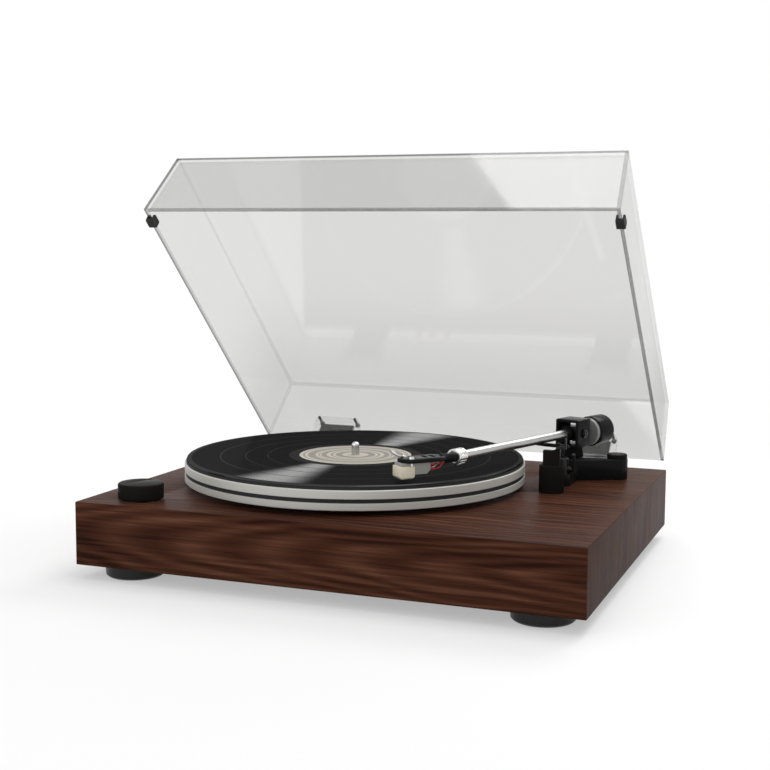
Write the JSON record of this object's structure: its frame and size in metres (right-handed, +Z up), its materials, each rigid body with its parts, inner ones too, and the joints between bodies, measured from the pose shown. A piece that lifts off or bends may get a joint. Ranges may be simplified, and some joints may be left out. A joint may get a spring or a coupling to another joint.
{
  "type": "record player",
  "caption": "Belt-driven record player on a wooden plinth, with a straight tonearm, a two-tier platter carrying a record and a clear hinged dust cover",
  "frame": {"origin": "the spindle's axis at the record's playing surface", "axes": "+X right seen from the front, +Y to the back, +Z up along the spindle"},
  "size_m": [0.4324, 0.4052, 0.356],
  "materials": {
    "walnut": "walnut veneer under a satin clear coat",
    "panel_board": "dark fibreboard",
    "black_plastic": "moulded black plastic, fine texture",
    "black_rubber": "black rubber",
    "platter_metal": "cast aluminium with turned edges",
    "band_rubber": "dark damping band",
    "bearing_metal": "ground steel",
    "brass_bush": "sintered bronze",
    "zinc": "zinc casting",
    "screw_black": "blackened steel screws",
    "screw_bright": "bright steel",
    "mat_rubber": "rubber mat",
    "vinyl": "pressed vinyl with fine grooves",
    "label_paper": "cream paper label with grey rings",
    "motor_can": "zinc-plated steel can",
    "board_green": "circuit board",
    "black_paint": "satin black paint on metal",
    "weight_paint": "black enamel on a steel weight",
    "scale_print": "grey plastic ring with scale marks",
    "tube_metal": "satin aluminium",
    "collar_metal": "knurled bright aluminium",
    "shell_black": "black anodised aluminium",
    "finger_metal": "polished aluminium strip",
    "cartridge_grey": "grey moulded plastic",
    "stylus_ivory": "ivory moulded plastic",
    "lead_colours": "insulated fine wire",
    "clear_acrylic": "clear acrylic with polished faces",
    "jack_metal": "gold-plated brass"
  },
  "bodies": {
    "chassis": {"plinth_frame": "walnut", "bottom_panel": "panel_board", "case_screws": "screw_black", "mounting_screws": "screw_black", "feet": "black_plastic", "foot_pads": "black_rubber", "bearing_housing": "zinc", "bearing_bushes": "brass_bush", "thrust_ball": "screw_bright", "motor": "motor_can", "motor_plate": "motor_can", "motor_grommets": "black_rubber", "drive_belt": "black_rubber", "speed_switch": "black_plastic", "speed_board": "board_green", "rear_panel": "black_paint", "phono_jacks": "jack_metal", "earth_terminal": "jack_metal", "power_inlet": "black_plastic", "level_switch": "screw_bright", "phono_board": "board_green", "hinge_bases": "black_plastic", "hinge_pins": "screw_bright", "arm_base": "black_paint", "arm_nut": "screw_bright", "lift_housing": "black_plastic", "arm_rest": "black_plastic"},
    "platter_group": {"spindle_shaft": "bearing_metal", "platter": "platter_metal", "platter_band": "band_rubber", "slipmat": "mat_rubber", "record": "vinyl", "record_labels": "label_paper"},
    "pulley_group": {"motor_pulley": "jack_metal", "motor_shaft": "bearing_metal"},
    "cover_group": {"dust_cover": "clear_acrylic", "lid_bumpers": "black_rubber", "hinge_leaves": "black_plastic", "hinge_sockets": "clear_acrylic", "socket_screws": "screw_black"},
    "knob_group": {"speed_knob": "black_plastic", "knob_shaft": "bearing_metal"},
    "slider_group": {"level_slider": "black_plastic"},
    "turret_group": {"arm_turret": "black_paint", "pivot_screws": "screw_black"},
    "arm_group": {"arm_carrier": "black_paint", "arm_tube": "tube_metal", "locking_collar": "collar_metal", "headshell": "shell_black", "finger_lift": "finger_metal", "cartridge": "cartridge_grey", "stylus_unit": "stylus_ivory", "cartridge_screws": "screw_bright", "cartridge_leads": "lead_colours"},
    "weight_group": {"counterweight": "weight_paint"},
    "scale_group": {"scale_ring": "scale_print"},
    "anti_skate_group": {"anti_skate_dial": "black_plastic"},
    "lever_group": {"cue_lever": "black_plastic"},
    "platform_group": {"lift_platform": "black_paint"},
    "clip_group": {"rest_clip": "black_plastic"}
  },
  "joints": [
    {"name": "platter_spin", "type": "hinge", "parent": "chassis", "child": "platter_group", "pos_m": [0, 0, 0], "axis": [0, 0, -1], "continuous": true},
    {"name": "pulley_spin", "type": "hinge", "parent": "chassis", "child": "pulley_group", "pos_m": [-0.11085, 0.064, -0.03], "axis": [0, 0, -1], "continuous": true},
    {"name": "cover_hinge", "type": "hinge", "parent": "chassis", "child": "cover_group", "pos_m": [0.0349, 0.1825, -0.03455], "axis": [-1, 0, 0], "range_deg": [-43.6, 26.4]},
    {"name": "speed_turn", "type": "hinge", "parent": "chassis", "child": "knob_group", "pos_m": [-0.1378, -0.1403, -0.02], "axis": [0, 0, -1], "range_deg": [-45, 45]},
    {"name": "level_slide", "type": "slide", "parent": "chassis", "child": "slider_group", "axis": [1, 0, 0], "range_m": [0, 0.004]},
    {"name": "arm_swing", "type": "hinge", "parent": "chassis", "child": "turret_group", "pos_m": [0.1751, 0.1047, 0.01605], "axis": [0, 0, -1], "range_deg": [-18.9, 20]},
    {"name": "arm_tilt", "type": "hinge", "parent": "turret_group", "child": "arm_group", "pos_m": [0.1751, 0.1047, 0.01605], "axis": [-0.9472, 0.3206, 0], "range_deg": [-0.24, 12]},
    {"name": "weight_turn", "type": "hinge", "parent": "arm_group", "child": "weight_group", "pos_m": [0.18632, 0.13785, 0.01405], "axis": [0.3206, 0.9472, 0], "range_deg": [-90, 90]},
    {"name": "scale_turn", "type": "hinge", "parent": "arm_group", "child": "scale_group", "pos_m": [0.18632, 0.13785, 0.01405], "axis": [0.3206, 0.9472, 0], "range_deg": [-90, 90]},
    {"name": "anti_skate_turn", "type": "hinge", "parent": "chassis", "child": "anti_skate_group", "pos_m": [0.2154, 0.111, -0.00495], "axis": [0, 0, -1], "range_deg": [-60, 60]},
    {"name": "cue_turn", "type": "hinge", "parent": "chassis", "child": "lever_group", "pos_m": [0.1824, 0.0577, -0.01095], "axis": [1, 0, 0], "range_deg": [0, 61]},
    {"name": "platform_slide", "type": "slide", "parent": "chassis", "child": "platform_group", "axis": [0, 0, -1], "range_m": [0, 0.004]},
    {"name": "clip_turn", "type": "hinge", "parent": "chassis", "child": "clip_group", "pos_m": [0.1815, 0.023, 0.01505], "axis": [0, -1, 0], "range_deg": [0, 90]}
  ],
  "couplings": [
    {"joint": "pulley_spin", "follows": "platter_spin", "ratio": 15.606},
    {"joint": "cue_turn", "follows": "platform_slide", "rad_per_m": 261.8}
  ]
}
